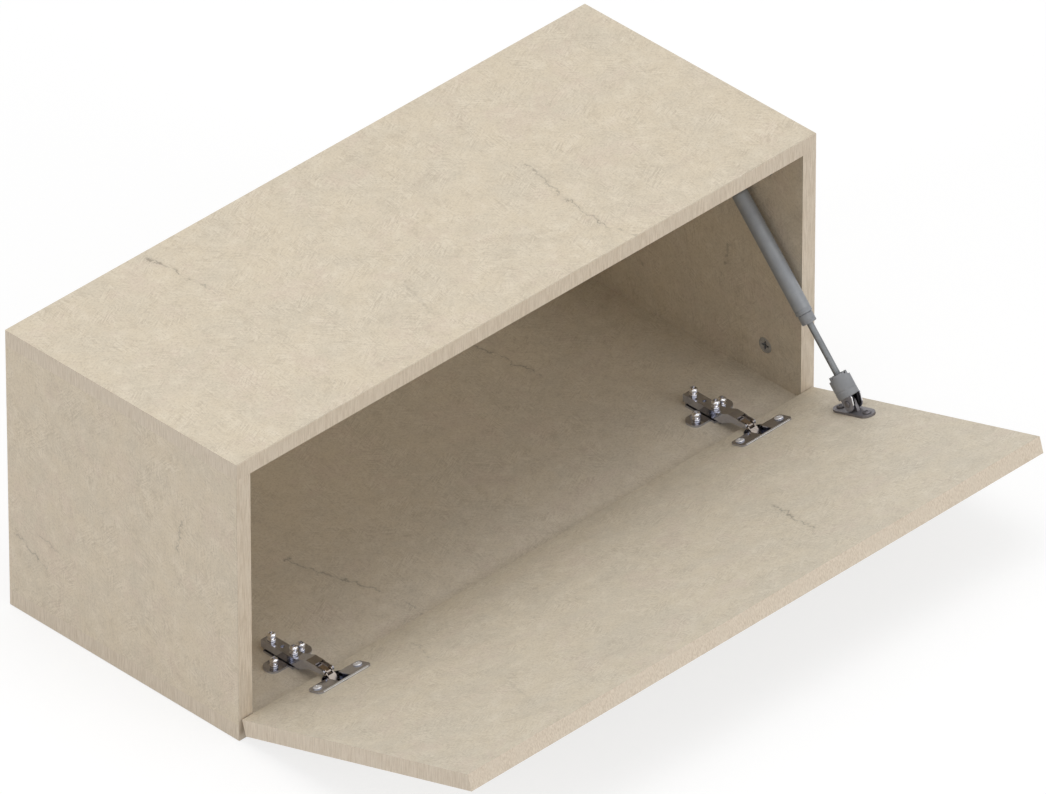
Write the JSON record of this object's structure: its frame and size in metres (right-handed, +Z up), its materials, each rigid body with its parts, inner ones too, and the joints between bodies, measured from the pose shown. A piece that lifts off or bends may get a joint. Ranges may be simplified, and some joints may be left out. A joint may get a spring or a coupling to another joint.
{
  "type": "wall cabinet with drop-down flap",
  "caption": "Low wide wall cabinet in stone-look board with a bottom-hinged drop-down flap, concealed cup hinges and a gas strut, shown open.",
  "frame": {"origin": "on the wall plane, at the middle of the lower rear edge of the carcass", "axes": "+X to the right seen from the front, +Y towards the wall, +Z up"},
  "size_m": [0.7, 0.5602, 0.288],
  "materials": {
    "laminate": "beige stone-look laminate on 16 mm board, mottled, with thin dark veins, matt",
    "backboard": "beige coated hardboard, matt",
    "chrome": "bright nickel-plated steel",
    "zinc": "zinc alloy, satin",
    "strut_paint": "blue-grey paint, matt",
    "strut_plastic": "blue-grey nylon, matt",
    "rod_steel": "ground steel rod",
    "dark_steel": "dark steel, satin",
    "nylon": "off-white nylon"
  },
  "bodies": {
    "carcass": {"top_panel": "laminate", "bottom_panel": "laminate", "left_side_panel": "laminate", "right_side_panel": "laminate", "back_panel": "backboard", "cam_left_lower_front": "zinc", "cam_bolt_left_lower_front": "zinc", "cam_left_lower_rear": "zinc", "cam_bolt_left_lower_rear": "zinc", "cam_left_upper_front": "zinc", "cam_bolt_left_upper_front": "zinc", "cam_left_upper_rear": "zinc", "cam_bolt_left_upper_rear": "zinc", "cam_right_lower_front": "zinc", "cam_bolt_right_lower_front": "zinc", "cam_right_lower_rear": "zinc", "cam_bolt_right_lower_rear": "zinc", "cam_right_upper_front": "zinc", "cam_bolt_right_upper_front": "zinc", "cam_right_upper_rear": "zinc", "cam_bolt_right_upper_rear": "zinc", "left_wall_hanger": "nylon", "right_wall_hanger": "nylon", "left_mounting_plate": "chrome", "left_hinge_arm": "chrome", "left_plate_screw_outer": "chrome", "left_plate_screw_inner": "chrome", "left_arm_fixing_screw": "chrome", "left_arm_adjusting_screw": "chrome", "right_mounting_plate": "chrome", "right_hinge_arm": "chrome", "right_plate_screw_outer": "chrome", "right_plate_screw_inner": "chrome", "right_arm_fixing_screw": "chrome", "right_arm_adjusting_screw": "chrome", "strut_side_bracket": "dark_steel", "side_bracket_screw_1": "dark_steel", "side_bracket_screw_2": "dark_steel"},
    "inner_links": {"left_inner_link": "chrome", "right_inner_link": "chrome"},
    "outer_links": {"left_outer_link": "chrome", "right_outer_link": "chrome"},
    "flap": {"flap_panel": "laminate", "left_hinge_cup": "chrome", "left_cup_screw_outer": "chrome", "left_cup_screw_inner": "chrome", "right_hinge_cup": "chrome", "right_cup_screw_outer": "chrome", "right_cup_screw_inner": "chrome", "strut_flap_bracket": "dark_steel", "flap_bracket_screw_1": "dark_steel", "flap_bracket_screw_2": "dark_steel"},
    "strut_rod_end": {"strut_end_socket": "strut_plastic", "strut_rod": "rod_steel", "strut_pivot_pin": "dark_steel"},
    "strut_cylinder": {"strut_end_cap": "strut_plastic", "strut_tube": "strut_paint", "strut_upper_socket": "strut_plastic"}
  },
  "joints": [
    {"name": "inner_link_swing", "type": "hinge", "parent": "carcass", "child": "inner_links", "pos_m": [0, -0.274, 0.0289], "axis": [1, 0, 0], "range_deg": [0, 35.01]},
    {"name": "flap_turn", "type": "hinge", "parent": "inner_links", "child": "flap", "pos_m": [0, -0.29396, 0.02237], "axis": [1, 0, 0], "range_deg": [-107.9, 0]},
    {"name": "outer_link_swing", "type": "hinge", "parent": "carcass", "child": "outer_links", "pos_m": [0, -0.2912, 0.02975], "axis": [1, 0, 0], "range_deg": [0, 52.55]},
    {"name": "strut_swing", "type": "hinge", "parent": "flap", "child": "strut_rod_end", "pos_m": [0.3225, -0.35515, 0.05437], "axis": [1, 0, 0], "range_deg": [0, 89.01]},
    {"name": "strut_slide", "type": "slide", "parent": "strut_rod_end", "child": "strut_cylinder", "axis": [0, -0.6714, -0.7411], "range_m": [0, 0.06741]}
  ],
  "couplings": [
    {"joint": "inner_link_swing", "follows": "flap_turn", "ratio": -0.32437},
    {"joint": "outer_link_swing", "follows": "flap_turn", "ratio": -0.48702},
    {"joint": "strut_swing", "follows": "flap_turn", "ratio": -0.82491},
    {"joint": "strut_slide", "follows": "flap_turn", "m_per_rad": -0.03579}
  ]
}
